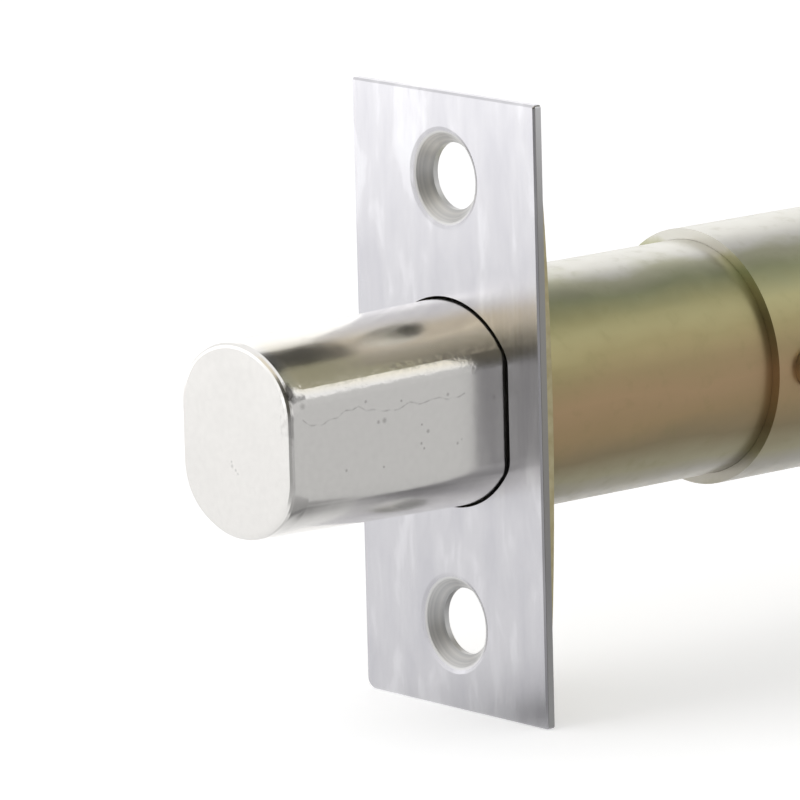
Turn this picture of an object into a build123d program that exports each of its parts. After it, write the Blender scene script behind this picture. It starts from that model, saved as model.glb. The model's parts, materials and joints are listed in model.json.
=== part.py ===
# Tubular deadbolt latch with a flat-sided bolt, shown thrown.
# Millimetres. The origin is on the bolt's axis, in the plane where the back of the two front plates
# beds in the door's edge. The bolt throws towards -Y, the tube and case lie towards +Y, and the hub
# turns about X.
import os
from math import atan2, cos, degrees, radians, sin, sqrt, tan

from build123d import *

os.makedirs("parts", exist_ok=True)

# Faceplate and screw holes
plate_width = 25.4
plate_height = 57.15
plate_thickness = 0.85
plate_corner_radius = 0.3
worn_corner_radius = 1.0
plate_edge_chamfer = 0.2
screw_pitch = 41.275
screw_hole_radius = 3.1
countersink_radius = 4.35
countersink_depth = 1.45
countersink_rim_chamfer = 0.35
dimple_depth = 2.0
dimple_wall = 0.7

# Backing plate, whose sides bow out a little at mid height
backing_height = 52.0
backing_thickness = 0.9
backing_middle_width = 24.8
backing_end_width = 22.2
backing_corner_radius = 2.5

# Bolt, with draft towards its nose, where its corners round off further
bolt_throw = 25.0
bolt_radius = 9.5
bolt_flat_width = 15.9
bolt_edge_radius = 2.4
nose_radius = 8.95
nose_flat_width = 15.3
nose_rounding = 0.5
nose_corner_radius = 5.5
nose_blend_length = 2.0
nose_steps = 3
bolt_tail_length = 12.0
tail_clearance = 0.8

# Hardened rod inside the bolt
roller_radius = 2.9
roller_length = 29.5
roller_plug_length = 3.0
roller_gap = 0.2

# Tube and case
tube_wall = 1.2
tube_lug_width = 7.0
collar_length = 8.0
backset = 70.0
case_width = 14.0
case_wall = 1.0
case_rear_length = 23.0
case_rear_chamfer = 1.0
case_bend_radius = 2.0
shoulder_angle = radians(45)
bottom_slot_width = 8.4

# Posts, rivets and pins
post_reach = 16.5
post_bore_radius = 3.0
post_wall = 0.75
post_flange_radius = 4.4
post_flange_thickness = 0.5
rivet_shank_radius = 1.3
rivet_head_radius = 2.0
rivet_head_height = 0.6
case_rivet_reach = 10.8
case_rivet_height = 6.0
stop_pin_radius = 1.7
stop_pin_head_radius = 2.2
stop_pin_drop = 6.7

# Drawbar and drive
drawbar_sheet = 1.5
drawbar_gap = 3.6
drawbar_top_drop = 6.0
drawbar_bottom_drop = 8.8
drawbar_low_drop = 12.0
drawbar_rear_land = 3.0
drawbar_web_rise = 1.4
drawbar_web_length = 30.6
drawbar_insert = 8.6
drawbar_pin_radius = 1.25
drawbar_pin_drop = 6.8
drawbar_pin_length = 10.2
drive_pin_radius = 1.75
drive_pin_drop = 9.5
drive_pin_overhang = 0.3

# Claw and hub
claw_thickness = 3.0
claw_ring_radius = 7.6
claw_shoulder_width = 10.6
claw_shoulder_reach = 12.0
claw_tip_width = 6.0
claw_tip_reach = 17.0
slot_stations = 9
hub_radius = 5.6
hub_flat_distance = 5.0
journal_radius = 4.9
journal_overhang = 0.4
tailpiece_slot_length = 8.4
tailpiece_slot_width = 2.4
tailpiece_relief_radius = 2.2

# Detent spring
spring_thickness = 0.4
spring_width = 2.6
spring_foot_length = 3.4
spring_land_length = 7.0
spring_ramp_length = 5.0
spring_bend_radius = 1.0

# Clearances
aperture_gap = 0.22
aperture_side_gap = 0.4
slide_gap = 0.3
running_gap = 0.08
press_gap = 0.02
slot_gap = 0.3

# Derived radii and half widths
tube_inner_radius = bolt_radius + slide_gap
tube_outer_radius = tube_inner_radius + tube_wall
case_inner_radius = tube_outer_radius + press_gap
case_radius = case_inner_radius + case_wall
post_outer_radius = post_bore_radius + post_wall
case_half_width = case_width / 2
inner_half_width = case_half_width - case_wall
drawbar_half_width = drawbar_gap / 2 + drawbar_sheet
roller_bore_radius = roller_radius + roller_gap
half_turn = degrees(atan2(bolt_throw / 2, drive_pin_drop))

# Derived places along Y
plate_front = -(plate_thickness + backing_thickness)
plate_back = -backing_thickness
nose_y = plate_front - bolt_throw
bolt_tail = plate_front + bolt_tail_length
tube_rear = bolt_tail + bolt_throw + tail_clearance
collar_front = tube_rear - collar_length
collar_rivet_y = tube_rear - collar_length / 2
shoulder_front = tube_rear + press_gap + case_bend_radius * tan(shoulder_angle / 2)
shoulder_rear = shoulder_front + (case_radius - case_half_width) / tan(shoulder_angle)
hub_y = plate_front + backset
case_rear = hub_y + case_rear_length
drawbar_front = bolt_tail - drawbar_insert
drive_pin_y = hub_y - bolt_throw / 2
drawbar_rear = drive_pin_y + drawbar_rear_land
stop_pin_y = drawbar_rear + bolt_throw + slide_gap + stop_pin_radius
bottom_slot_front = shoulder_rear
bottom_slot_rear = stop_pin_y - stop_pin_radius + slide_gap

screw_heights = (screw_pitch / 2, -screw_pitch / 2)
post_places = [(hub_y - post_reach, 0), (hub_y + post_reach, 0)]
case_rivet_places = {
    "front_case_rivet": (hub_y - case_rivet_reach, case_rivet_height),
    "rear_case_rivet": (hub_y + case_rivet_reach, case_rivet_height),
}


def across(y):
    """Plane square to the bolt's travel at this y, facing the front."""
    return Plane.XZ.offset(-y)


def bolt_section(profile, radius, flat_width, edge_radius):
    """Circle with a flat on each side and rounded corners, drawn in the open profile."""
    Circle(radius)
    Rectangle(flat_width, 2 * radius, mode=Mode.INTERSECT)
    fillet(profile.vertices(), edge_radius)


def aperture_section(profile):
    """Hole that the bolt passes, in the open profile."""
    bolt_section(
        profile,
        bolt_radius + aperture_gap,
        bolt_flat_width + 2 * aperture_side_gap,
        bolt_edge_radius + aperture_gap,
    )


def cross_pin(y, z, radius, length):
    """Plain pin along X, centred on the middle plane."""
    with BuildPart() as pin:
        with BuildSketch(Plane.YZ.offset(-length / 2)):
            with Locations((y, z)):
                Circle(radius)
        extrude(amount=length)
    return pin.part


def rivet(y, z, x_flush, x_outer, shank, head_radius):
    """Rivet along X: peened flush at x_flush, with a low flat head outside x_outer."""
    with BuildPart() as turned:
        with BuildSketch(Plane.XY):
            with BuildLine():
                Polyline(
                    (x_flush, 0),
                    (x_flush, shank),
                    (x_outer, shank),
                    (x_outer, head_radius),
                    (x_outer + rivet_head_height, head_radius),
                    (x_outer + rivet_head_height, 0),
                    close=True,
                )
            make_face()
        revolve(axis=Axis.X)
    return Pos(0, y, z) * turned.part


written = []


def write(part, label):
    """Labels a finished piece and writes its file."""
    part.label = label
    export_step(part, f"parts/{label}.step")
    written.append(label)


# Faceplate, with pressed dimples for the countersunk screws
def dimple_profile(height, wall):
    """Half section of a screw dimple on the middle plane, grown by its wall."""
    with BuildSketch(Plane.YZ) as profile:
        with BuildLine():
            Polyline(
                (plate_front, height),
                (plate_front, height + countersink_radius + wall),
                (plate_front + countersink_depth, height + screw_hole_radius + wall),
                (plate_front + dimple_depth, height + screw_hole_radius + wall),
                (plate_front + dimple_depth, height),
                close=True,
            )
        make_face()
    return profile.sketch


with BuildPart() as faceplate:
    with BuildSketch(across(plate_back)) as plate_outline:
        Rectangle(plate_width, plate_height)
        worn_place = (-plate_width / 2, -plate_height / 2)
        fillet(plate_outline.vertices().sort_by_distance(worn_place)[1:], plate_corner_radius)
        fillet(plate_outline.vertices().sort_by_distance(worn_place)[0], worn_corner_radius)
    extrude(amount=plate_thickness)
    front = faceplate.faces().sort_by(Axis.Y)[0]
    chamfer(front.edges(), plate_edge_chamfer)
    for height in screw_heights:
        screw_axis = Axis((0, 0, height), (0, 1, 0))
        revolve(dimple_profile(height, dimple_wall), axis=screw_axis)
        revolve(dimple_profile(height, 0), axis=screw_axis, mode=Mode.SUBTRACT)
    front = faceplate.faces().sort_by(Axis.Y)[0]
    rims = front.edges().filter_by(GeomType.CIRCLE).group_by(SortBy.RADIUS)[-1]
    chamfer(rims, countersink_rim_chamfer)
    with BuildSketch(across(plate_back)) as plate_aperture:
        aperture_section(plate_aperture)
    extrude(amount=plate_thickness, mode=Mode.SUBTRACT)
write(faceplate.part, "faceplate")

# Backing plate
cone_slope = (countersink_radius - screw_hole_radius) / countersink_depth
dimple_radius_at_backing = countersink_radius - cone_slope * plate_thickness + dimple_wall

with BuildPart() as backing_plate:
    with BuildSketch(across(0)) as backing_outline:
        with BuildLine():
            side_top = (backing_end_width / 2, backing_height / 2)
            side_middle = (backing_middle_width / 2, 0)
            side_bottom = (backing_end_width / 2, -backing_height / 2)
            side = ThreePointArc(side_top, side_middle, side_bottom)
            mirror(side, about=Plane.YZ)
            Line(side_top, (-side_top[0], side_top[1]))
            Line(side_bottom, (-side_bottom[0], side_bottom[1]))
        make_face()
        fillet(backing_outline.vertices(), backing_corner_radius)
        with Locations(*[(0, height) for height in screw_heights]):
            Circle(dimple_radius_at_backing + press_gap, mode=Mode.SUBTRACT)
    extrude(amount=backing_thickness)
    with BuildSketch(across(0)) as backing_aperture:
        aperture_section(backing_aperture)
    extrude(amount=backing_thickness, mode=Mode.SUBTRACT)
    with BuildSketch(across(0)):
        Circle(tube_outer_radius + press_gap)
        Circle(tube_inner_radius - press_gap, mode=Mode.SUBTRACT)
        Rectangle(plate_width, tube_lug_width + 2 * press_gap, mode=Mode.INTERSECT)
    extrude(amount=backing_thickness, mode=Mode.SUBTRACT)
write(backing_plate.part, "backing_plate")

# Front tube, with two lugs that are staked in the backing plate
with BuildPart() as front_tube:
    with BuildSketch(across(tube_rear)):
        Circle(tube_outer_radius)
        Circle(tube_inner_radius, mode=Mode.SUBTRACT)
    extrude(amount=tube_rear)
    with BuildSketch(across(0)):
        Circle(tube_outer_radius)
        Circle(tube_inner_radius, mode=Mode.SUBTRACT)
        Rectangle(plate_width, tube_lug_width, mode=Mode.INTERSECT)
    extrude(amount=backing_thickness - press_gap)
    with BuildSketch(Plane.YZ):
        with Locations((collar_rivet_y, 0)):
            Circle(rivet_shank_radius + press_gap)
    extrude(amount=plate_width, both=True, mode=Mode.SUBTRACT)
write(front_tube.part, "front_tube")


# Case halves, pressed with a round collar, sloping shoulders and flat sides
def case_form(inset):
    """Round bar with chamfered rear, flattened behind its shoulders, taken in by the inset."""
    side = case_half_width - inset
    round_radius = case_radius - inset
    slope_shift = inset * tan(shoulder_angle / 2)
    slope_front = shoulder_front - slope_shift
    slope_rear = shoulder_rear - slope_shift
    rear = case_rear - inset
    with BuildPart() as form:
        with BuildSketch(Plane.XY.offset(-case_radius)) as outline:
            with BuildLine():
                Polyline(
                    (round_radius, collar_front),
                    (round_radius, slope_front),
                    (side, slope_rear),
                    (side, rear),
                    (-side, rear),
                    (-side, slope_rear),
                    (-round_radius, slope_front),
                    (-round_radius, collar_front),
                    close=True,
                )
            make_face()
            rows = outline.vertices().group_by(Axis.Y)
            fillet(rows[3], case_bend_radius - inset)
            fillet(rows[2], case_bend_radius - case_wall + inset)
            fillet(rows[1], case_bend_radius - inset)
        extrude(amount=2 * case_radius)
        with BuildSketch(Plane.XY):
            with BuildLine():
                Polyline(
                    (0, collar_front),
                    (round_radius, collar_front),
                    (round_radius, rear - case_rear_chamfer),
                    (round_radius - case_rear_chamfer, rear),
                    (0, rear),
                    close=True,
                )
            make_face()
        revolve(axis=Axis.Y, mode=Mode.INTERSECT)
    return form.part


with BuildPart() as case:
    add(case_form(0))
    add(case_form(case_wall), mode=Mode.SUBTRACT)
    with BuildSketch(Plane.XY.offset(-case_radius)):
        with Locations((0, (bottom_slot_front + bottom_slot_rear) / 2)):
            Rectangle(bottom_slot_width, bottom_slot_rear - bottom_slot_front)
    extrude(amount=case_radius - drawbar_bottom_drop, mode=Mode.SUBTRACT)
    with BuildSketch(Plane.YZ):
        with Locations((hub_y, 0)):
            Circle(journal_radius + running_gap)
        with Locations(*post_places):
            Circle(post_outer_radius + press_gap)
        with Locations(*case_rivet_places.values(), (collar_rivet_y, 0)):
            Circle(rivet_shank_radius + press_gap)
        with Locations((stop_pin_y, -stop_pin_drop)):
            Circle(stop_pin_radius + press_gap)
    extrude(amount=plate_width, both=True, mode=Mode.SUBTRACT)

with BuildPart() as case_right:
    add(case.part)
    split(bisect_by=Plane.YZ, keep=Keep.TOP)
write(case_right.part, "case_right")

with BuildPart() as case_left:
    add(case.part)
    split(bisect_by=Plane.YZ, keep=Keep.BOTTOM)
write(case_left.part, "case_left")

# Rivets of the collar, one each side, flush inside the tube
tube_seat = sqrt(tube_inner_radius**2 - rivet_shank_radius**2)
right_collar_rivet = rivet(collar_rivet_y, 0, tube_seat, case_radius, rivet_shank_radius, rivet_head_radius)
write(mirror(right_collar_rivet, about=Plane.YZ), "left_collar_rivet")
write(right_collar_rivet, "right_collar_rivet")

# Case rivets and stop pin, flush on the left and headed on the right
for label, (y, z) in case_rivet_places.items():
    case_rivet = rivet(y, z, -case_half_width, case_half_width, rivet_shank_radius, rivet_head_radius)
    write(case_rivet, label)

stop_pin = rivet(
    stop_pin_y, -stop_pin_drop, -case_half_width, case_half_width, stop_pin_radius, stop_pin_head_radius
)
write(stop_pin, "stop_pin")


# Hollow posts for the through bolts
def post_eyelet(y):
    """Hollow rivet across the case, with a flat flange on each side."""
    post_half_length = case_half_width + post_flange_thickness
    with BuildPart() as eyelet:
        with BuildSketch(Plane.XY):
            with BuildLine():
                Polyline(
                    (-post_half_length, post_bore_radius),
                    (-post_half_length, post_flange_radius),
                    (-case_half_width, post_flange_radius),
                    (-case_half_width, post_outer_radius),
                    (case_half_width, post_outer_radius),
                    (case_half_width, post_flange_radius),
                    (post_half_length, post_flange_radius),
                    (post_half_length, post_bore_radius),
                    close=True,
                )
            make_face()
        revolve(axis=Axis.X)
    return Pos(0, y, 0) * eyelet.part


write(post_eyelet(hub_y - post_reach), "front_post_eyelet")
write(post_eyelet(hub_y + post_reach), "rear_post_eyelet")

# Detent spring, bowed from the case's top wall down to the hub's flat
spring_side = claw_thickness / 2 + slide_gap
spring_foot_top = sqrt(case_inner_radius**2 - (spring_side + spring_width) ** 2)
spring_foot_z = spring_foot_top - running_gap - spring_thickness / 2
spring_land_z = hub_flat_distance + running_gap + spring_thickness / 2
spring_half = spring_land_length / 2
ramp_end = spring_half + spring_ramp_length
foot_end = ramp_end + spring_foot_length

with BuildPart() as detent_spring:
    with BuildSketch(Plane.YZ.offset(spring_side)):
        with BuildLine():
            FilletPolyline(
                (hub_y - foot_end, spring_foot_z),
                (hub_y - ramp_end, spring_foot_z),
                (hub_y - spring_half, spring_land_z),
                (hub_y + spring_half, spring_land_z),
                (hub_y + ramp_end, spring_foot_z),
                (hub_y + foot_end, spring_foot_z),
                radius=spring_bend_radius,
            )
        trace(line_width=spring_thickness)
    extrude(amount=spring_width)
write(detent_spring.part, "detent_spring")

# Bolt: a straight tail, then a body that tapers to a rounded nose
drawbar_slot_half_width = drawbar_half_width + press_gap
drawbar_slot_top = drawbar_top_drop - drawbar_web_rise - press_gap
drawbar_pin_y = (drawbar_front + bolt_tail) / 2
roller_rear = bolt_tail - roller_plug_length - slide_gap
roller_bore_front = roller_rear - roller_length - slide_gap


def tapered(root_size, nose_size, behind):
    """Size of the bolt's body this far behind its nose."""
    return nose_size + (root_size - nose_size) * behind / bolt_throw


# Distance behind the nose and inset of each section, from the blend round the nose's edge
nose_stations = [(nose_blend_length, 0)]
for step in range(nose_steps + 1):
    angle = radians(90 * step / nose_steps)
    nose_stations.append((nose_rounding * (1 - sin(angle)), nose_rounding * (1 - cos(angle))))

with BuildPart() as bolt:
    with BuildSketch(across(bolt_tail)) as tail_section:
        bolt_section(tail_section, bolt_radius, bolt_flat_width, bolt_edge_radius)
    extrude(amount=bolt_tail_length)
    with BuildSketch(across(plate_front)) as root_section:
        bolt_section(root_section, bolt_radius, bolt_flat_width, bolt_edge_radius)
    for behind, inset in nose_stations:
        radius = tapered(bolt_radius, nose_radius, behind) - inset
        flat_width = tapered(bolt_flat_width, nose_flat_width, behind) - 2 * inset
        blend = 1 - behind / nose_blend_length
        corner_radius = bolt_edge_radius + (nose_corner_radius - bolt_edge_radius) * blend
        with BuildSketch(across(nose_y + behind)) as nose_section:
            bolt_section(nose_section, radius, flat_width, corner_radius)
    loft(ruled=True)
    with BuildSketch(across(bolt_tail)):
        Circle(roller_bore_radius)
    extrude(amount=bolt_tail - roller_bore_front, mode=Mode.SUBTRACT)
    with BuildSketch(across(bolt_tail)):
        with Locations((0, -(bolt_radius + drawbar_slot_top) / 2)):
            Rectangle(2 * drawbar_slot_half_width, bolt_radius - drawbar_slot_top)
    extrude(amount=drawbar_insert + press_gap, mode=Mode.SUBTRACT)
    with BuildSketch(Plane.YZ):
        with Locations((drawbar_pin_y, -drawbar_pin_drop)):
            Circle(drawbar_pin_radius + press_gap)
    extrude(amount=bolt_radius, both=True, mode=Mode.SUBTRACT)
write(bolt.part, "bolt")

# Hardened rod and its plug
with BuildPart() as saw_guard_roller:
    with BuildSketch(across(roller_rear)):
        Circle(roller_radius)
    extrude(amount=roller_length)
write(saw_guard_roller.part, "saw_guard_roller")

with BuildPart() as roller_plug:
    with BuildSketch(across(bolt_tail)):
        Circle(roller_bore_radius - press_gap)
    extrude(amount=roller_plug_length)
write(roller_plug.part, "roller_plug")

# Drawbar: two legs and a web, folded from one sheet
drawbar_web_end = drawbar_front + drawbar_web_length
drawbar_shoulder = bottom_slot_front + slide_gap
web_top = -(drawbar_top_drop - drawbar_web_rise)

with BuildPart() as drawbar:
    with BuildSketch(Plane.YZ.offset(-drawbar_half_width)):
        with BuildLine():
            Polyline(
                (drawbar_front, web_top),
                (drawbar_web_end, web_top),
                (drawbar_web_end, -drawbar_top_drop),
                (drawbar_rear, -drawbar_top_drop),
                (drawbar_rear, -drawbar_low_drop),
                (drawbar_shoulder, -drawbar_low_drop),
                (drawbar_shoulder, -drawbar_bottom_drop),
                (drawbar_front, -drawbar_bottom_drop),
                close=True,
            )
        make_face()
    extrude(amount=2 * drawbar_half_width)
    low_corners = drawbar.edges().filter_by(Axis.X).group_by(Axis.Z)[0]
    fillet(low_corners, drawbar_sheet)
    fold_edges = drawbar.faces().sort_by(Axis.Z)[-1].edges().filter_by(Axis.Y)
    fillet(fold_edges, drawbar_sheet / 2)
    with BuildSketch(Plane.YZ):
        with BuildLine():
            Polyline(
                (drawbar_front, web_top - drawbar_sheet),
                (drawbar_web_end, web_top - drawbar_sheet),
                (drawbar_web_end, web_top),
                (drawbar_rear, web_top),
                (drawbar_rear, -drawbar_low_drop),
                (drawbar_front, -drawbar_low_drop),
                close=True,
            )
        make_face()
    extrude(amount=drawbar_gap / 2, both=True, mode=Mode.SUBTRACT)
    with BuildSketch(Plane.YZ):
        with Locations((drawbar_pin_y, -drawbar_pin_drop)):
            Circle(drawbar_pin_radius + press_gap)
        with Locations((drive_pin_y, -drive_pin_drop)):
            Circle(drive_pin_radius + press_gap)
    extrude(amount=drawbar_half_width, both=True, mode=Mode.SUBTRACT)
write(drawbar.part, "drawbar")

write(cross_pin(drawbar_pin_y, -drawbar_pin_drop, drawbar_pin_radius, drawbar_pin_length), "drawbar_pin")

drive_pin_length = 2 * (drawbar_half_width + drive_pin_overhang)
write(cross_pin(drive_pin_y, -drive_pin_drop, drive_pin_radius, drive_pin_length), "drive_pin")

# Claw and hub, drawn with the claw hanging straight down, on a plane turned to the thrown position
turned_x = (0, cos(radians(half_turn)), -sin(radians(half_turn)))


def hub_plane(x):
    """Plane square to the hub's axis at x, turned with the claw."""
    return Plane(origin=(x, hub_y, 0), x_dir=turned_x, z_dir=(1, 0, 0))


def hub_outline(gap=0.0):
    """Hub section: a circle with one flat for each end of the turn."""
    Circle(hub_radius + gap)
    cut = hub_radius - hub_flat_distance
    flat_centre = hub_flat_distance + gap + cut / 2
    for side in (-1, 1):
        angle = radians(90 + side * half_turn)
        with Locations(Location((flat_centre * cos(angle), flat_centre * sin(angle)), degrees(angle))):
            Rectangle(cut, 2 * hub_radius, mode=Mode.SUBTRACT)


def pin_in_claw(travel):
    """Where the drive pin stands in the claw's own frame after this much travel."""
    offset = travel - bolt_throw / 2
    reach = sqrt(offset**2 + drive_pin_drop**2)
    lead = atan2(offset, drive_pin_drop) - radians(half_turn) * offset / (bolt_throw / 2)
    return (reach * sin(lead), -reach * cos(lead))


slot_radius = drive_pin_radius + slot_gap
pin_stations = [pin_in_claw(bolt_throw * step / (slot_stations - 1)) for step in range(slot_stations)]

with BuildPart() as crank_claw:
    with BuildSketch(hub_plane(-claw_thickness / 2)):
        Circle(claw_ring_radius)
        with BuildLine():
            Polyline(
                (-claw_shoulder_width / 2, 0),
                (-claw_shoulder_width / 2, -claw_shoulder_reach),
                (-claw_tip_width / 2, -claw_tip_reach),
                (claw_tip_width / 2, -claw_tip_reach),
                (claw_shoulder_width / 2, -claw_shoulder_reach),
                (claw_shoulder_width / 2, 0),
                close=True,
            )
        make_face()
    extrude(amount=claw_thickness)
    with BuildSketch(hub_plane(-claw_thickness / 2)):
        with Locations(*pin_stations):
            Circle(slot_radius)
        make_hull()
        with Locations((0, -claw_tip_reach)):
            Rectangle(2 * slot_radius, 2 * (claw_tip_reach + pin_stations[0][1]))
    extrude(amount=claw_thickness, mode=Mode.SUBTRACT)
    with BuildSketch(hub_plane(-claw_thickness / 2)):
        hub_outline(press_gap)
    extrude(amount=claw_thickness, mode=Mode.SUBTRACT)
write(crank_claw.part, "crank_claw")

hub_half_width = inner_half_width - slide_gap
journal_half_length = case_half_width + journal_overhang

with BuildPart() as crank_hub:
    with BuildSketch(hub_plane(-hub_half_width)):
        hub_outline()
    extrude(amount=2 * hub_half_width)
    with BuildSketch(hub_plane(-journal_half_length)):
        Circle(journal_radius)
    extrude(amount=2 * journal_half_length)
    with BuildSketch(Plane.YZ.offset(-journal_half_length)):
        with Locations((hub_y, 0)):
            Rectangle(tailpiece_slot_width, tailpiece_slot_length)
            Circle(tailpiece_relief_radius)
    extrude(amount=2 * journal_half_length, mode=Mode.SUBTRACT)
write(crank_hub.part, "crank_hub")

print("nodes", len(written), "half turn", round(half_turn, 4), "degrees")
print("coupling", round(radians(2 * half_turn) / (bolt_throw / 1000), 5), "radians per metre")
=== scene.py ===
# %% [markdown]
# # A thrown deadbolt latch
# The frame holds the finished metal pieces: two front plates, a flat-sided bolt, a tube, a pressed
# case and the crank inside it. Their shapes are right, so this script only gives them finishes. It
# loads the frame and keeps the boxes of the faceplate and the bolt.

# %% Load the frame
import json
import math

import bpy
import numpy as np
from mathutils import Matrix, Vector


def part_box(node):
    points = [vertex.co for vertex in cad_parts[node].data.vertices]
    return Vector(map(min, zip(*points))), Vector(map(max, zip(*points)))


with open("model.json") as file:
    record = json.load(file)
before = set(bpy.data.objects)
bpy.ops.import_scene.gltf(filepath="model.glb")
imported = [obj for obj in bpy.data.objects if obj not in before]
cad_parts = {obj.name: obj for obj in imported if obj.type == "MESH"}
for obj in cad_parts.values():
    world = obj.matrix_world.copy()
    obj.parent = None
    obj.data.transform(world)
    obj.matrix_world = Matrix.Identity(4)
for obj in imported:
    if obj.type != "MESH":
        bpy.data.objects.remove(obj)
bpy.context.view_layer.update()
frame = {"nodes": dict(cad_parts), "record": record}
nodes = frame["nodes"]
MM = 0.001
plate_low, plate_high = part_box("faceplate")
bolt_low, bolt_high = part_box("bolt")

# %% [markdown]
# ## Camera
# The picture was taken from the right and slightly above, with a long lens. A constraint could aim
# the camera, but its angles and distance were fitted to the picture's edges, so they are used as
# they are. It stands on a line from the faceplate's centre, then steps sideways, so that this
# centre lands where it does in the picture, which is 800 pixels wide.

# %% Camera
PICTURE_WIDTH = 800
SENSOR_WIDTH = 36.0
view_azimuth = math.radians(50.075)
view_elevation = math.radians(11.007)
view_roll = math.radians(-1.48)
view_distance = 800.2 * MM
focal_pixels = 8803.7
centre_right_pixels = 48.8
centre_down_pixels = 1.9

plate_centre = Vector((0, plate_low.y, 0))
back = Vector(
    (
        math.sin(view_azimuth) * math.cos(view_elevation),
        -math.cos(view_azimuth) * math.cos(view_elevation),
        math.sin(view_elevation),
    )
)
level_right = Vector((math.cos(view_azimuth), math.sin(view_azimuth), 0))
level_up = back.cross(level_right)
right = math.cos(view_roll) * level_right + math.sin(view_roll) * level_up
up = math.cos(view_roll) * level_up - math.sin(view_roll) * level_right
metres_per_pixel = view_distance / focal_pixels

camera_data = bpy.data.cameras.new("camera")
camera_data.sensor_width = SENSOR_WIDTH
camera_data.lens = focal_pixels * SENSOR_WIDTH / PICTURE_WIDTH
camera_data.clip_start = 0.01
camera_data.clip_end = 50
camera = bpy.data.objects.new("camera", camera_data)
bpy.context.scene.collection.objects.link(camera)
turn = Matrix((right, up, back)).transposed()
place = plate_centre + view_distance * back
place -= centre_right_pixels * metres_per_pixel * right
place += centre_down_pixels * metres_per_pixel * up
camera.matrix_world = Matrix.Translation(place) @ turn.to_4x4()
bpy.context.scene.camera = camera
print("camera at", [round(v, 3) for v in place], "lens", round(camera_data.lens, 1), "mm")

# %% [markdown]
# ## Helpers for materials
# Colours are written as sRGB hex, because that is what a picture shows, and one function turns
# them to the linear values that shaders work in. One function adds a node with its settings and
# links. A pattern's scale is the number of its features in a metre, so it comes from a size in
# millimetres.

# %% Colour and node helpers
def linear(hex_colour):
    """Linear RGBA of an sRGB hex colour, by the standard's curve with its short straight foot."""
    channel = np.array([int(hex_colour[i : i + 2], 16) for i in (1, 3, 5)]) / 255
    value = np.where(channel <= 0.04045, channel / 12.92, ((channel + 0.055) / 1.055) ** 2.4)
    return (*value.tolist(), 1.0)


def grey(level):
    """Linear RGBA of a plain level, for ramps that carry a number."""
    return (level, level, level, 1.0)


def per(size_mm):
    """Pattern scale at which one feature of the pattern is this many millimetres."""
    return 1 / (size_mm * MM)


def add_node(tree, kind, inputs=None, stops=None, **settings):
    """Adds a node. Inputs are values or sockets to link from, and stops fill a colour ramp."""
    node = tree.nodes.new(kind)
    for name, value in settings.items():
        setattr(node, name, value)
    for name, value in (inputs or {}).items():
        if isinstance(value, bpy.types.NodeSocket):
            tree.links.new(value, node.inputs[name])
        else:
            node.inputs[name].default_value = value
    for index, (position, colour) in enumerate(stops or []):
        elements = node.color_ramp.elements
        element = elements[index] if index < 2 else elements.new(position)
        element.position = position
        element.color = colour if isinstance(colour, tuple) else linear(colour)
    return node


def new_material(name):
    """Empty node material, and its tree, output and object coordinates."""
    material = bpy.data.materials.new(name)
    material.use_nodes = True
    tree = material.node_tree
    tree.nodes.clear()
    output = add_node(tree, "ShaderNodeOutputMaterial")
    coordinates = add_node(tree, "ShaderNodeTexCoord")
    return material, tree, output, coordinates.outputs["Object"]


def finished(material, tree, output, surface):
    """Links the surface to the material's output, and prints how many nodes it took."""
    tree.links.new(surface.outputs[0], output.inputs["Surface"])
    print(material.name, "nodes", len(tree.nodes))
    return material


# %% [markdown]
# ## Places on the faceplate
# The faceplate is one piece of sheet with three finishes: the brushed face, the cut sides, which
# are greyer and rougher, and the two countersinks, which keep the rings of the press tool. They
# could be three materials on chosen faces, but this mesh is loose triangles. So each finish is
# found from its place on the plate, and one material covers the whole piece.

# %% Masks for the cut sides and the countersinks
SCREW_HEIGHT_MM = 41.275 / 2
COUNTERSINK_RADIUS_MM = 4.25


def cut_side_mask(tree, split):
    """1 on the plate's left and right sides, where X is the half width to within 0.03 mm."""
    edge_mm = 0.03
    fade_mm = 0.02
    cut_start = plate_high.x - edge_mm * MM
    return add_node(
        tree,
        "ShaderNodeMapRange",
        {"Value": split.outputs["X"], "From Min": cut_start - fade_mm * MM, "From Max": cut_start},
    ).outputs["Result"]


def countersink_mask(tree, split):
    """Distance from the nearer screw's centre, and a mask that is 1 inside its countersink."""
    fade_mm = 0.15
    rise = add_node(
        tree,
        "ShaderNodeMath",
        {0: split.outputs["Z"], 1: SCREW_HEIGHT_MM * MM},
        operation="SUBTRACT",
    )
    from_screw = add_node(
        tree, "ShaderNodeCombineXYZ", {"X": split.outputs["X"], "Z": rise.outputs[0]}
    )
    radius = add_node(
        tree, "ShaderNodeVectorMath", {0: from_screw.outputs[0]}, operation="LENGTH"
    ).outputs["Value"]
    sunk = add_node(
        tree,
        "ShaderNodeMapRange",
        {
            "Value": radius,
            "From Min": COUNTERSINK_RADIUS_MM * MM,
            "From Max": (COUNTERSINK_RADIUS_MM + fade_mm) * MM,
            "To Min": 1.0,
            "To Max": 0.0,
        },
    )
    return radius, sunk.outputs["Result"]


print("screws at", SCREW_HEIGHT_MM, "mm, plate", [round(v / MM, 2) for v in plate_high], "mm")

# %% [markdown]
# ## Brushed stainless steel
# Brushing leaves fine lines of uneven depth along the plate's height: they blur reflections
# sideways and leave soft streaks. Anisotropic shading could blur them too, but it shows no single
# line, so a noise stretched along the plate gives both. Real brush lines lie about 0.05 mm apart,
# too fine to show at this distance, so they are drawn three times as coarse.

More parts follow.
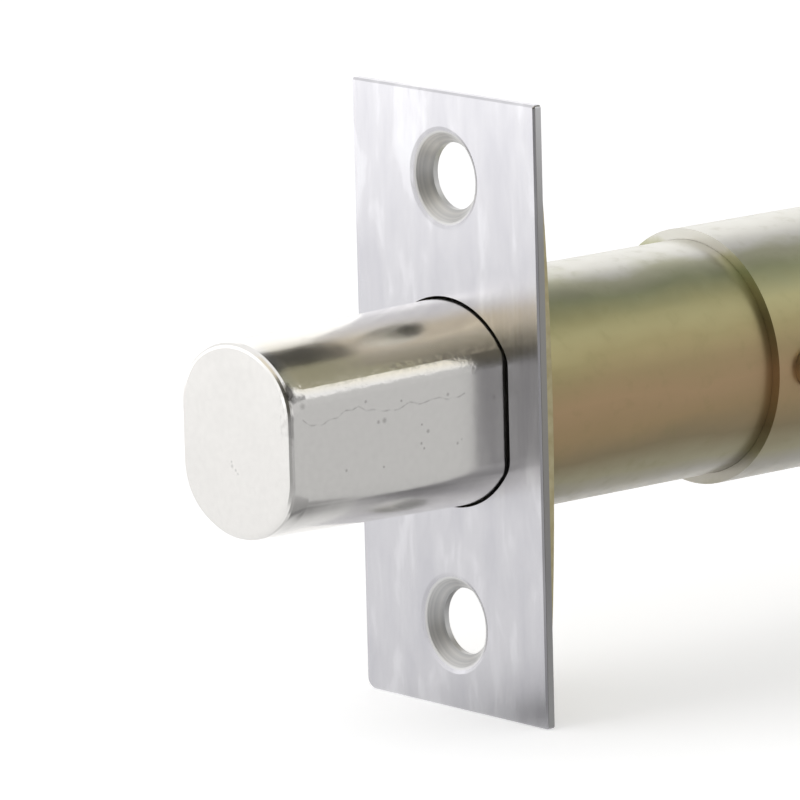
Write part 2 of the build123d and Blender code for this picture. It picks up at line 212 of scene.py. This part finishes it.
# %% Brushed stainless steel
def brushed_stainless():
    """Stainless sheet: lines along Z, grey cut sides with painted shade and light, and rings in the
    two countersinks.
    """
    brush_line_mm = 0.16
    brush_length_mm = 22.0
    cloud_mm = 2.8
    cloud_length_mm = cloud_mm / 0.3
    ring_mm = 0.22
    ring_roughness = 0.52
    cut_roughness = 0.46
    material, tree, output, where = new_material("brushed_stainless_steel")
    lines_at = add_node(
        tree,
        "ShaderNodeMapping",
        {"Vector": where, "Scale": (per(brush_line_mm), per(brush_line_mm), per(brush_length_mm))},
    )
    lines = add_node(
        tree, "ShaderNodeTexNoise", {"Vector": lines_at.outputs[0], "Scale": 1.0, "Detail": 3.0}
    )
    clouds_at = add_node(
        tree,
        "ShaderNodeMapping",
        {"Vector": where, "Scale": (per(cloud_mm), per(cloud_mm), per(cloud_length_mm))},
    )
    clouds = add_node(
        tree,
        "ShaderNodeTexNoise",
        {"Vector": clouds_at.outputs[0], "Scale": 1.0, "Detail": 3.0, "Distortion": 0.3},
    )
    face_tint = add_node(
        tree,
        "ShaderNodeValToRGB",
        {"Fac": clouds.outputs["Fac"]},
        stops=[(0.32, "#CCCBD0"), (0.72, "#E2E2E5"), (0.54, "#D4D3D7"), (0.6, "#DBDADE")],
    )

    # Both masks are the same on either side of the middle, so they read the place without its sign
    place = add_node(tree, "ShaderNodeVectorMath", {0: where}, operation="ABSOLUTE")
    split = add_node(tree, "ShaderNodeSeparateXYZ", {"Vector": place.outputs[0]})
    cut = cut_side_mask(tree, split)
    radius, sunk = countersink_mask(tree, split)

    # Painted shade darkens the grey cut sides towards the middle, and painted light lightens the
    # top
    along = add_node(tree, "ShaderNodeSeparateXYZ", {"Vector": where})
    climb = add_node(
        tree,
        "ShaderNodeMapRange",
        {"Value": along.outputs["Z"], "From Min": plate_low.z, "From Max": plate_high.z},
    )
    cut_grey_and_painted_shade = add_node(
        tree,
        "ShaderNodeValToRGB",
        {"Fac": climb.outputs["Result"]},
        stops=[
            (0.0, "#B2B2B2"),
            (1.0, "#DEDEDF"),
            (0.25, "#9C9B9B"),
            (0.5, "#A3A09B"),
            (0.78, "#AAA9A8"),
        ],
    )
    rings = add_node(
        tree,
        "ShaderNodeTexNoise",
        {"W": radius, "Scale": per(ring_mm), "Detail": 2.0},
        noise_dimensions="1D",
    )
    ring_tint = add_node(
        tree,
        "ShaderNodeValToRGB",
        {"Fac": rings.outputs["Fac"]},
        stops=[(0.3, "#DADADA"), (0.7, "#EAE9E8")],
    )
    with_rings = add_node(
        tree,
        "ShaderNodeMix",
        {0: sunk, 6: face_tint.outputs["Color"], 7: ring_tint.outputs["Color"]},
        data_type="RGBA",
    )
    with_sides = add_node(
        tree,
        "ShaderNodeMix",
        {0: cut, 6: with_rings.outputs[2], 7: cut_grey_and_painted_shade.outputs["Color"]},
        data_type="RGBA",
    )
    blur = add_node(
        tree, "ShaderNodeMapRange", {"Value": lines.outputs["Fac"], "To Min": 0.17, "To Max": 0.31}
    )
    on_rings = add_node(
        tree, "ShaderNodeMix", {0: sunk, 2: blur.outputs["Result"], 3: ring_roughness}
    )
    roughness = add_node(tree, "ShaderNodeMix", {0: cut, 2: on_rings.outputs[0], 3: cut_roughness})
    relief_height = add_node(
        tree, "ShaderNodeMix", {0: sunk, 2: lines.outputs["Fac"], 3: rings.outputs["Fac"]}
    )
    relief = add_node(
        tree,
        "ShaderNodeBump",
        {"Height": relief_height.outputs[0], "Strength": 0.14, "Distance": 0.02 * MM},
    )
    surface = add_node(
        tree,
        "ShaderNodeBsdfPrincipled",
        {
            "Base Color": with_sides.outputs[2],
            "Metallic": 1.0,
            "Roughness": roughness.outputs[0],
            "Normal": relief.outputs["Normal"],
        },
    )
    return finished(material, tree, output, surface)


stainless_finish = brushed_stainless()

# %% [markdown]
# ## Pits in the bolt's plating
# Years of use leave small pits in the plating. The ones that a person would notice are listed one
# by one in millimetres, because a random pattern strong enough to show would cover the whole bolt.
# A
# pit is a soft dark spot: a number that is its depth at the centre and falls to nothing at twice
# its radius.

# %% Pits
FLAT_PIT_DEPTH = 0.34
NOSE_PIT_DEPTH = 0.2
# Place along Y, height Z and radius on the flat
flat_pits = [
    (-18.0, 3.4, 0.11),
    (-13.9, 2.9, 0.09),
    (-8.5, 2.7, 0.12),
    (-15.9, 1.4, 0.17),
    (-16.6, 1.35, 0.12),
    (-11.6, 0.4, 0.08),
    (-10.9, -0.3, 0.13),
    (-11.7, -1.3, 0.1),
    (-11.4, -1.8, 0.09),
    (-7.5, -1.9, 0.11),
    (-7.0, -1.6, 0.08),
    (-3.1, 1.7, 0.14),
    (-20.4, -2.5, 0.11),
    (-16.1, -2.8, 0.08),
    (-25.2, 4.0, 0.2),
]
# Place across X, height Z and radius on the nose
nose_pits = [(-0.6, -2.3, 0.13), (-0.1, -2.6, 0.1), (-0.65, -1.9, 0.08), (0.2, -2.9, 0.08)]


def pit_marks(tree, where):
    """One number for each pit, which falls off with the distance from its centre."""
    flat_x = bolt_high.x - 0.15 * MM
    pits = [((flat_x, y * MM, z * MM), radius, FLAT_PIT_DEPTH) for y, z, radius in flat_pits]
    pits += [((x * MM, bolt_low.y, z * MM), radius, NOSE_PIT_DEPTH) for x, z, radius in nose_pits]
    marks = []
    for centre, radius, depth in pits:
        away = add_node(
            tree, "ShaderNodeVectorMath", {0: where, 1: centre}, operation="DISTANCE"
        )
        fall = {"From Min": 0.5 * radius * MM, "From Max": 2 * radius * MM}
        levels = {"To Min": depth, "To Max": 0.0}
        pit = add_node(
            tree, "ShaderNodeMapRange", {"Value": away.outputs["Value"], **fall, **levels}
        )
        marks.append(pit.outputs["Result"])
    return marks


print("pits", len(flat_pits) + len(nose_pits))

# %% [markdown]
# ## The long scratch on the flat
# A key or a striker left one long scratch. It could be a groove in the mesh, but it is finer than
# the mesh's triangles, so the material draws it. It is a line at a height that wanders slowly along
# the flat, and it fades where the mottle of the plating is bright, as a shallow scratch does.

# %% Scratch
SCRATCH_HALF_MM = 0.07
SCRATCH_DEPTH = 0.27


def scratch_mark(tree, split, mottle):
    """Falls off with the height above or below the wandering line, and stays on the right flat."""
    wander_mm = 5.5
    lowest_mm, highest_mm = 1.5, 3.3
    wander = add_node(
        tree,
        "ShaderNodeTexNoise",
        {"W": split.outputs["Y"], "Scale": per(wander_mm), "Detail": 2.0},
        noise_dimensions="1D",
    )
    levels = {"To Min": lowest_mm * MM, "To Max": highest_mm * MM}
    line_z = add_node(
        tree,
        "ShaderNodeMapRange",
        {"Value": wander.outputs["Fac"], "From Min": 0.25, "From Max": 0.75, **levels},
    )
    offset = add_node(
        tree,
        "ShaderNodeMath",
        {0: split.outputs["Z"], 1: line_z.outputs["Result"]},
        operation="SUBTRACT",
    )
    beside = add_node(tree, "ShaderNodeMath", {0: offset.outputs[0]}, operation="ABSOLUTE")
    fall = {"From Min": 0.0, "From Max": 2 * SCRATCH_HALF_MM * MM}
    levels = {"To Min": SCRATCH_DEPTH, "To Max": 0.0}
    line = add_node(tree, "ShaderNodeMapRange", {"Value": beside.outputs[0], **fall, **levels})
    limits = {"From Min": 0.4, "From Max": 0.62, "To Min": 1.0, "To Max": 0.1}
    faint = add_node(tree, "ShaderNodeMapRange", {"Value": mottle, **limits})
    scratch = add_node(
        tree,
        "ShaderNodeMath",
        {0: line.outputs["Result"], 1: faint.outputs["Result"]},
        operation="MULTIPLY",
    )
    for axis, limit_mm, side in (
        ("X", 7.0, "GREATER_THAN"),
        ("Y", -6.5, "LESS_THAN"),
        ("Y", -25.3, "GREATER_THAN"),
    ):
        inside = add_node(
            tree, "ShaderNodeMath", {0: split.outputs[axis], 1: limit_mm * MM}, operation=side
        )
        scratch = add_node(
            tree,
            "ShaderNodeMath",
            {0: scratch.outputs[0], 1: inside.outputs[0]},
            operation="MULTIPLY",
        )
    return scratch.outputs[0]


print("scratch", 2 * SCRATCH_HALF_MM, "mm wide")

# %% [markdown]
# ## The chipped corner
# Where the flat meets the nose, the plating has chipped away and dirt has gathered. An image could
# paint the chips, but it would need a file and a UV map. So a chip is an oval in Y and Z: the
# mapping turns the oval to a circle of radius 1, and the mottle makes its rim ragged.

# %% Chips
# Middle behind the nose and in height, half length, half height and depth
chips = [(0.55, 5.3, 0.55, 0.95, 0.85), (0.25, 3.0, 0.26, 2.6, 0.3)]


def chip_marks(tree, where, split, mottle):
    """One number for each chip, on the bolt's right side only."""
    right_side_mm = 6.4
    marks = []
    for behind, height, half_length, half_height, depth in chips:
        oval_at = add_node(
            tree,
            "ShaderNodeMapping",
            {
                "Vector": where,
                "Location": (0.0, -(bolt_low.y / MM + behind) / half_length, -height / half_height),
                "Scale": (0.0, per(half_length), per(half_height)),
            },
        )
        reach = add_node(
            tree, "ShaderNodeVectorMath", {0: oval_at.outputs[0]}, operation="LENGTH"
        )
        ragged = add_node(
            tree,
            "ShaderNodeMath",
            {0: mottle, 1: 1.2, 2: reach.outputs["Value"]},
            operation="MULTIPLY_ADD",
        )
        limits = {"From Min": 1.1, "From Max": 1.7, "To Min": depth, "To Max": 0.0}
        oval = add_node(tree, "ShaderNodeMapRange", {"Value": ragged.outputs[0], **limits})
        on_right = add_node(
            tree,
            "ShaderNodeMath",
            {0: split.outputs["X"], 1: right_side_mm * MM},
            operation="GREATER_THAN",
        )
        chip = add_node(
            tree,
            "ShaderNodeMath",
            {0: oval.outputs["Result"], 1: on_right.outputs[0]},
            operation="MULTIPLY",
        )
        marks.append(chip.outputs[0])
    return marks


print("chips", len(chips))

# %% [markdown]
# ## Colour of the bolt's plating
# Bright plating over a polished body is nearly white, with a faint mottle. Along the upper shoulder
# between the flat and the top, a painted warm reflection tints it a little. That could be a second
# material, but a reflection has no border, so a colour ramp over the height fades it in and out.

# %% Colour of the plating
def plating_tint_and_warm_reflection(tree, split, mottle):
    """Mottled near white, multiplied by a painted warm reflection on the upper shoulders behind the
    nose.
    """
    shoulder_low_mm, shoulder_high_mm = 4.5, 9.5
    tint = add_node(
        tree,
        "ShaderNodeValToRGB",
        {"Fac": mottle},
        stops=[(0.3, "#ECEAE7"), (0.65, "#EFEDEA")],
    )
    # Painted warm reflection along the upper shoulder, faded in over the height and behind the nose
    limits = {"From Min": shoulder_low_mm * MM, "From Max": shoulder_high_mm * MM}
    climb = add_node(tree, "ShaderNodeMapRange", {"Value": split.outputs["Z"], **limits})
    painted_warm_reflection = add_node(
        tree,
        "ShaderNodeValToRGB",
        {"Fac": climb.outputs["Result"]},
        stops=[(0.06, "#FFFFFF"), (0.94, "#FFFFFF"), (0.2, "#FFFBEE"), (0.76, "#FFFBEE")],
    )
    limits = {"From Min": bolt_low.y + 0.4 * MM, "From Max": bolt_low.y + 2.0 * MM}
    behind_nose = add_node(tree, "ShaderNodeMapRange", {"Value": split.outputs["Y"], **limits})
    with_warm_reflection = add_node(
        tree,
        "ShaderNodeMix",
        {0: behind_nose.outputs["Result"], 6: tint.outputs["Color"], 7: painted_warm_reflection.outputs["Color"]},
        data_type="RGBA",
        blend_type="MULTIPLY",
    )
    return with_warm_reflection.outputs[2]


bolt_size = [round((high - low) / MM, 2) for low, high in zip(bolt_low, bolt_high)]
print("bolt", bolt_size, "mm")

# %% [markdown]
# ## Unevenness of the bolt's surface
# The polish isn't flat, so reflections waver over a few millimetres. Sliding has left fine drag
# lines along the travel, and knocks have left small dents along the rounded edge above each flat.
# All of this could be modelled, but none is deep enough to change the outline, so three layers of
# bumps do it and the mesh stays as it is.

# %% Relief of the plating
def plating_relief(tree, where, split):
    """Normal from three layers of bumps: the wavering polish, the drag lines and the dents."""
    waver_mm = 3.0
    drag_mm = 0.35
    drag_length_mm = drag_mm / 0.04
    dent_mm = 1.0
    dent_strength = 0.9
    edge_low_mm, edge_high_mm = 4.0, 4.7
    edge_side_mm = 6.9
    drag_at = add_node(
        tree,
        "ShaderNodeMapping",
        {"Vector": where, "Scale": (per(drag_mm), per(drag_length_mm), per(drag_mm))},
    )
    drag = add_node(
        tree, "ShaderNodeTexNoise", {"Vector": drag_at.outputs[0], "Scale": 1.0, "Detail": 2.0}
    )
    waver = add_node(
        tree, "ShaderNodeTexNoise", {"Vector": where, "Scale": per(waver_mm), "Detail": 1.0}
    )
    polish = add_node(
        tree,
        "ShaderNodeBump",
        {"Height": waver.outputs["Fac"], "Strength": 1.0, "Distance": 0.03 * MM},
    )
    dragged = add_node(
        tree,
        "ShaderNodeBump",
        {
            "Height": drag.outputs["Fac"],
            "Strength": 0.08,
            "Distance": 0.02 * MM,
            "Normal": polish.outputs["Normal"],
        },
    )
    limits = {"From Min": edge_low_mm * MM, "From Max": edge_high_mm * MM, "To Max": dent_strength}
    near_edge = add_node(tree, "ShaderNodeMapRange", {"Value": split.outputs["Z"], **limits})
    side = add_node(tree, "ShaderNodeMath", {0: split.outputs["X"]}, operation="ABSOLUTE")
    beside_flat = add_node(
        tree, "ShaderNodeMath", {0: side.outputs[0], 1: edge_side_mm * MM}, operation="GREATER_THAN"
    )
    strength = add_node(
        tree,
        "ShaderNodeMath",
        {0: near_edge.outputs["Result"], 1: beside_flat.outputs[0]},
        operation="MULTIPLY",
    )
    dents = add_node(
        tree, "ShaderNodeTexNoise", {"Vector": where, "Scale": per(dent_mm), "Detail": 3.0}
    )
    dented = add_node(
        tree,
        "ShaderNodeBump",
        {
            "Height": dents.outputs["Fac"],
            "Strength": strength.outputs[0],
            "Distance": 0.06 * MM,
            "Normal": dragged.outputs["Normal"],
        },
    )
    return dented.outputs["Normal"]


# %% [markdown]
# ## Worn bright plating
# All the marks darken the plating towards dirt, and where two meet the darker one counts. A haze
# of wiped grease makes the shine vary over about five millimetres.

# %% Worn bright plating
def worn_plating():
    """Bright plating with drag lines, dents, pits, a scratch and a chipped corner."""
    haze_mm = 5.0
    mottle_mm = 0.7
    dirt = linear("#3F3C38")
    material, tree, output, where = new_material("worn_bright_plating")
    split = add_node(tree, "ShaderNodeSeparateXYZ", {"Vector": where})
    haze = add_node(
        tree, "ShaderNodeTexNoise", {"Vector": where, "Scale": per(haze_mm), "Detail": 4.0}
    )
    mottle = add_node(
        tree, "ShaderNodeTexNoise", {"Vector": where, "Scale": per(mottle_mm), "Detail": 5.0}
    ).outputs["Fac"]
    marks = pit_marks(tree, where) + [scratch_mark(tree, split, mottle)]
    marks += chip_marks(tree, where, split, mottle)
    worn = marks[0]
    for mark in marks[1:]:
        worn = add_node(tree, "ShaderNodeMath", {0: worn, 1: mark}, operation="MAXIMUM").outputs[0]
    marked = add_node(
        tree,
        "ShaderNodeMix",
        {0: worn, 6: plating_tint_and_warm_reflection(tree, split, mottle), 7: dirt},
        data_type="RGBA",
    )
    blur = add_node(
        tree, "ShaderNodeMapRange", {"Value": haze.outputs["Fac"], "To Min": 0.14, "To Max": 0.26}
    )
    surface = add_node(
        tree,
        "ShaderNodeBsdfPrincipled",
        {
            "Base Color": marked.outputs[2],
            "Metallic": 1.0,
            "Roughness": blur.outputs["Result"],
            "Normal": plating_relief(tree, where, split),
        },
    )
    return finished(material, tree, output, surface)


plating_finish = worn_plating()

# %% [markdown]
# ## Yellow chromate
# The tube and case are zinc plated and dipped in a yellow chromate. The film's thickness changes as
# it drains, so its colour runs in soft level bands, from grey below through tan, olive and straw to
# a pale film on top. Thin film shading could work such colours out from a thickness, but a colour
# ramp over the height is easier to match to a real part. The tube was drawn, which leaves fine
# lines along it, and the dip leaves small olive stains.

# %% Yellow chromate
def yellow_chromate():
    """Zinc plate with a yellow passivate: bands along Z whose borders wander with the patches."""
    band_span_mm = 24.0
    patch_mm = 6.0
    patch_length_mm = patch_mm / 0.5
    border_wander = 0.14
    line_mm = 0.3
    line_length_mm = line_mm / 0.03
    stain_mm = 1.6
    stain_strength = 0.16
    material, tree, output, where = new_material("yellow_chromate_on_zinc")
    patches_at = add_node(
        tree,
        "ShaderNodeMapping",
        {"Vector": where, "Scale": (per(patch_mm), per(patch_length_mm), per(patch_mm))},
    )
    patches = add_node(
        tree, "ShaderNodeTexNoise", {"Vector": patches_at.outputs[0], "Scale": 1.0, "Detail": 4.0}
    )
    split = add_node(tree, "ShaderNodeSeparateXYZ", {"Vector": where})
    limits = {"From Min": -band_span_mm / 2 * MM, "From Max": band_span_mm / 2 * MM}
    height = add_node(tree, "ShaderNodeMapRange", {"Value": split.outputs["Z"], **limits})
    wander = add_node(
        tree,
        "ShaderNodeMath",
        {0: patches.outputs["Fac"], 1: border_wander, 2: height.outputs["Result"]},
        operation="MULTIPLY_ADD",
    )
    level = add_node(
        tree, "ShaderNodeMath", {0: wander.outputs[0], 1: border_wander / 2}, operation="SUBTRACT"
    )
    tint = add_node(
        tree,
        "ShaderNodeValToRGB",
        {"Fac": level.outputs[0]},
        stops=[
            (0.11, "#B3AFA4"),
            (0.95, "#DCDAD2"),
            (0.18, "#ADA78A"),
            (0.29, "#958769"),
            (0.39, "#AE9671"),
            (0.5, "#B99D79"),
            (0.68, "#A69A70"),
            (0.77, "#B4AE82"),
            (0.86, "#A9AC89"),
            (0.92, "#C3C2A8"),
        ],
    )
    lines_at = add_node(
        tree,
        "ShaderNodeMapping",
        {"Vector": where, "Scale": (per(line_mm), per(line_length_mm), per(line_mm))},
    )
    lines = add_node(
        tree, "ShaderNodeTexNoise", {"Vector": lines_at.outputs[0], "Scale": 1.0, "Detail": 2.0}
    )
    stains = add_node(
        tree, "ShaderNodeTexNoise", {"Vector": where, "Scale": per(stain_mm), "Detail": 5.0}
    )
    limits = {"From Min": 0.56, "From Max": 0.72, "To Min": 0.0, "To Max": stain_strength}
    stain = add_node(tree, "ShaderNodeMapRange", {"Value": stains.outputs["Fac"], **limits})
    stained = add_node(
        tree,
        "ShaderNodeMix",
        {0: stain.outputs["Result"], 6: tint.outputs["Color"], 7: linear("#8E8A5E")},
        data_type="RGBA",
    )
    blur = add_node(
        tree, "ShaderNodeMapRange", {"Value": stains.outputs["Fac"], "To Min": 0.26, "To Max": 0.42}
    )
    relief = add_node(
        tree,
        "ShaderNodeBump",
        {"Height": lines.outputs["Fac"], "Strength": 0.15, "Distance": 0.02 * MM},
    )
    surface = add_node(
        tree,
        "ShaderNodeBsdfPrincipled",
        {
            "Base Color": stained.outputs[2],
            "Metallic": 0.85,
            "Roughness": blur.outputs["Result"],
            "Normal": relief.outputs["Normal"],
        },
    )
    return finished(material, tree, output, surface)


chromate_finish = yellow_chromate()

# %% [markdown]
# ## Bright zinc, ground steel and spring steel
# The backing plate, drawbar, claw and hub are zinc plated without the yellow dip. The pins and the
# rod are hardened and ground, and the spring is blued strip. All three are plain at this distance,
# so each is a fine uneven grain between two colours.

# %% Plain steels
def plain_steel(name, dark, light, roughness, grain_mm):
    """Steel finish with a fine uneven grain between two colours."""
    roughness_spread = 0.08
    material, tree, output, where = new_material(name)
    grain = add_node(
        tree, "ShaderNodeTexNoise", {"Vector": where, "Scale": per(grain_mm), "Detail": 4.0}
    ).outputs["Fac"]
    tint = add_node(tree, "ShaderNodeValToRGB", {"Fac": grain}, stops=[(0.3, dark), (0.7, light)])
    levels = {"To Min": roughness - roughness_spread, "To Max": roughness + roughness_spread}
    blur = add_node(tree, "ShaderNodeMapRange", {"Value": grain, **levels})
    surface = add_node(
        tree,
        "ShaderNodeBsdfPrincipled",
        {
            "Base Color": tint.outputs["Color"],
            "Metallic": 1.0,
            "Roughness": blur.outputs["Result"],
        },
    )
    return finished(material, tree, output, surface)


zinc_finish = plain_steel("bright_zinc_plate", "#B5A983", "#C9C09B", 0.38, 1.2)
ground_finish = plain_steel("hardened_ground_steel", "#6F6F70", "#8C8C8E", 0.3, 0.5)
spring_finish = plain_steel("blued_spring_steel", "#4A4C55", "#666874", 0.35, 0.8)

# %% [markdown]
# ## Finishes on the pieces
# The record gives each piece a slot, named for its real material. Each slot has one finish here.

# %% Give each piece its finish
finishes = {
    "faceplate_stainless": stainless_finish,
    "bolt_nickel": plating_finish,
    "chromate_zinc": chromate_finish,
    "bright_zinc": zinc_finish,
    "hardened_steel": ground_finish,
    "spring_steel": spring_finish,
}
slot_of = {part["node"]: part["material_slot"] for part in frame["record"]["subparts"]}
for name, node in nodes.items():
    node.data.materials.clear()
    node.data.materials.append(finishes[slot_of[name]])
print("pieces", len(nodes), "finishes", sorted(set(slot_of.values())))

# %% [markdown]
# ## Floor and world
# The latch stands on a pale floor against white, and a strength of 1 is white. One white world
# could light the latch and be seen as well, but its light would wash out the floor's shadow. So the
# floor and the world are plain white to the camera and in reflections, and the light that they
# throw is a separate and weaker one.

# %% Floor and world
def white_when_seen(tree, seen, lit):
    """Mix of two shaders: the first for the camera, reflections and glass, the other for light."""
    rays = add_node(tree, "ShaderNodeLightPath")
    direct = rays.outputs["Is Camera Ray"]
    for kind in ("Is Glossy Ray", "Is Transmission Ray"):
        direct = add_node(
            tree, "ShaderNodeMath", {0: direct, 1: rays.outputs[kind]}, operation="MAXIMUM"
        ).outputs[0]
    return add_node(tree, "ShaderNodeMixShader", {0: direct, 1: lit, 2: seen})


def flat_card(name, corners):
    """Flat four-cornered mesh from its corners, in order round the edge."""
    mesh = bpy.data.meshes.new(name)
    mesh.from_pydata([tuple(corner) for corner in corners], [], [(0, 1, 2, 3)])
    card = bpy.data.objects.new(name, mesh)
    bpy.context.scene.collection.objects.link(card)
    return card


WORLD_LIGHT = 0.65
FLOOR_GLOW = 0.35
FLOOR_GAP_MM = 0.05
FLOOR_REACH = 4.0

world = bpy.data.worlds.new("studio")
bpy.context.scene.world = world
world.use_nodes = True
sky = world.node_tree
sky.nodes.clear()
fill = add_node(sky, "ShaderNodeBackground", {"Color": grey(1.0), "Strength": WORLD_LIGHT})
white = add_node(sky, "ShaderNodeBackground", {"Color": grey(1.0), "Strength": 1.0})
sky_mix = white_when_seen(sky, white.outputs[0], fill.outputs[0])
add_node(sky, "ShaderNodeOutputWorld", {"Surface": sky_mix.outputs[0]})

floor_level = plate_low.z - FLOOR_GAP_MM * MM
around = [(-1, -1), (1, -1), (1, 1), (-1, 1)]
floor = flat_card("floor", [(x * FLOOR_REACH, y * FLOOR_REACH, floor_level) for x, y in around])
board, board_tree, board_out, _ = new_material("matt_white_board")
matt = add_node(board_tree, "ShaderNodeBsdfDiffuse", {"Color": linear("#F4F4F4")})
glow = add_node(board_tree, "ShaderNodeEmission", {"Color": grey(1.0), "Strength": FLOOR_GLOW})
glowing = add_node(board_tree, "ShaderNodeAddShader", {0: matt.outputs[0], 1: glow.outputs[0]})
board_mix = white_when_seen(board_tree, glowing.outputs[0], matt.outputs[0])
floor.data.materials.append(finished(board, board_tree, board_out, board_mix))
print("floor", round(floor_level / MM, 2), "mm")

# %% [markdown]
# ## Reflection cards
# Metal shows what is around it, so cards stand in for the brighter and darker sides of a studio.
# Only reflections see them. One picture of a studio could surround the latch instead, but each card
# can be set for one face. Three lie on the floor, and the others stand round the latch, each placed
# where the mirror direction of a face points. The strength of the ones on the floor changes with
# the distance from the latch, because a part shades the floor beside it.

# %% Card helpers
CARD_DISTANCE_MM = 850
CARD_LIFT_MM = 0.025
CARD_BRIGHTEST = 1.7
RAMP_MM = 400


def reflection_card(name, corners, colour, centre, levels, shadow):
    """Card that only reflections see. Its levels are (distance from the centre in mm, strength)."""
    card = flat_card(name, [Vector(corner) * MM for corner in corners])
    paint, tree, output, where = new_material(name + "_paint")
    away = add_node(
        tree, "ShaderNodeVectorMath", {0: where, 1: Vector(centre) * MM}, operation="DISTANCE"
    )
    along = add_node(
        tree, "ShaderNodeMath", {0: away.outputs["Value"], 1: per(RAMP_MM)}, operation="MULTIPLY"
    )
    stops = [(distance / RAMP_MM, grey(level / CARD_BRIGHTEST)) for distance, level in levels]
    ramp = add_node(tree, "ShaderNodeValToRGB", {"Fac": along.outputs[0]}, stops=stops)
    strength = add_node(
        tree, "ShaderNodeMath", {0: ramp.outputs["Color"], 1: CARD_BRIGHTEST}, operation="MULTIPLY"
    )
    light = {"Color": linear(colour), "Strength": strength.outputs[0]}
    shine = add_node(tree, "ShaderNodeEmission", light)
    card.data.materials.append(finished(paint, tree, output, shine))
    card.visible_camera = False
    card.visible_diffuse = False
    card.visible_transmission = False
    card.visible_shadow = shadow
    return card


def floor_card(name, x_range, y_range, levels, centre=(0, 0)):
    """White card that lies just over the floor, over these ranges in millimetres."""
    height = floor_level / MM + CARD_LIFT_MM
    corners = [
        (x_range[0], y_range[0], height),
        (x_range[1], y_range[0], height),
        (x_range[1], y_range[1], height),
        (x_range[0], y_range[1], height),
    ]
    return reflection_card(name, corners, "#FFFFFF", (*centre, height), levels, shadow=False)


def standing_card(name, bearings, elevations, colour, level):
    """Upright card between bearings, from +X towards +Y, and elevations, all in degrees."""
    half_angle = math.radians(bearings[1] - bearings[0]) / 2
    angle = math.radians(bearings[0] + bearings[1]) / 2
    centre = Vector((math.cos(angle), math.sin(angle), 0)) * CARD_DISTANCE_MM
    along = Vector((-math.sin(angle), math.cos(angle), 0)) * CARD_DISTANCE_MM
    along *= math.tan(half_angle)
    low, high = (
        Vector((0, 0, CARD_DISTANCE_MM * math.tan(math.radians(elevation))))
        for elevation in elevations
    )
    corners = [centre - along + low, centre + along + low, centre + along + high]
    corners.append(centre - along + high)
    levels = [(0, level), (RAMP_MM, level)]
    return reflection_card(name, corners, colour, centre, levels, shadow=True)


# %% Cards on the floor
CARD_REACH_MM = 900
RIGHT_BORDER_MM = 16
LEFT_BORDER_MM = -9
CARDS_MEET_MM = -1

# Distance and strength: the first two stops are the ramp's ends
front_levels = [
    (0, 0.18),
    (390, 1.7),
    (4, 0.24),
    (11, 0.66),
    (24, 0.9),
    (50, 0.95),
    (90, 0.96),
    (200, 0.97),
    (280, 1.04),
]
in_front = (-CARD_REACH_MM, CARDS_MEET_MM)
to_left = (-CARD_REACH_MM, RIGHT_BORDER_MM)
to_right = (RIGHT_BORDER_MM, CARD_REACH_MM)
right_levels = [(20, 0.3), (400, 0.3), (60, 0.5), (130, 0.41)]
behind_x, behind_y = (LEFT_BORDER_MM, CARD_REACH_MM), (CARDS_MEET_MM, CARD_REACH_MM)
behind_levels = [(0, 0.2), (400, 0.6), (12, 0.3), (20, 0.56)]
floor_card("card_front_left", to_left, in_front, front_levels, centre=(10, -10))
floor_card("dark_card_front_right", to_right, in_front, right_levels)
floor_card("grey_card_behind_right", behind_x, behind_y, behind_levels, centre=(-4, 4))

# %% Cards round the latch
# Name, bearings, elevations, colour and strength
standing_cards = [
    ("bright_card_far_left", (-155, -125), (-2, 18), "#FFFFFF", 1.5),
    ("bright_card_behind_left", (126, 156), (3, 36), "#FFFFFF", 1.25),
    ("grey_card_low_right", (8, 75), (-2, 13), "#FFFFFF", 0.6),
    ("grey_card_right", (0, 30), (14, 32), "#FFFFFF", 0.3),
    ("dark_card_by_camera", (-88, -10), (-2, 49), "#FFFAE8", 0.12),
    ("warm_card_high_by_camera", (-88, -10), (49, 62), "#FFF8E2", 0.5),
    ("warm_card_front", (-124, -88), (34, 60), "#FFF5E2", 0.86),
    ("olive_card_high_right", (45, 90), (42, 64), "#FFFDE0", 0.31),
    ("dark_card_high_back", (88, 126), (42, 62), "#FFFEF4", 0.03),
]
for card_row in standing_cards:
    standing_card(*card_row)
print("standing cards", len(standing_cards))

# %% [markdown]
# ## Key lamp
# One soft lamp from the front left and above throws the faint shadow on the floor. It is hidden
# from reflections, because metal would show it as a hard white square.

# %% Key lamp
KEY_SIZE = 0.8
KEY_POWER = 3.0
KEY_PLACE = Vector((-0.35, -0.6, 0.6))
key_data = bpy.data.lights.new("key_softbox", "AREA")
key_data.shape = "SQUARE"
key_data.size = KEY_SIZE
key_data.energy = KEY_POWER
key = bpy.data.objects.new("key_softbox", key_data)
bpy.context.scene.collection.objects.link(key)
key.location = KEY_PLACE
key.rotation_euler = KEY_PLACE.to_track_quat("Z", "Y").to_euler()
key.visible_glossy = False
print("key lamp", round(KEY_PLACE.length, 2), "m away")

# %% [markdown]
# The standard view shows colours about as they are written.

bpy.context.scene.view_settings.view_transform = "Standard"
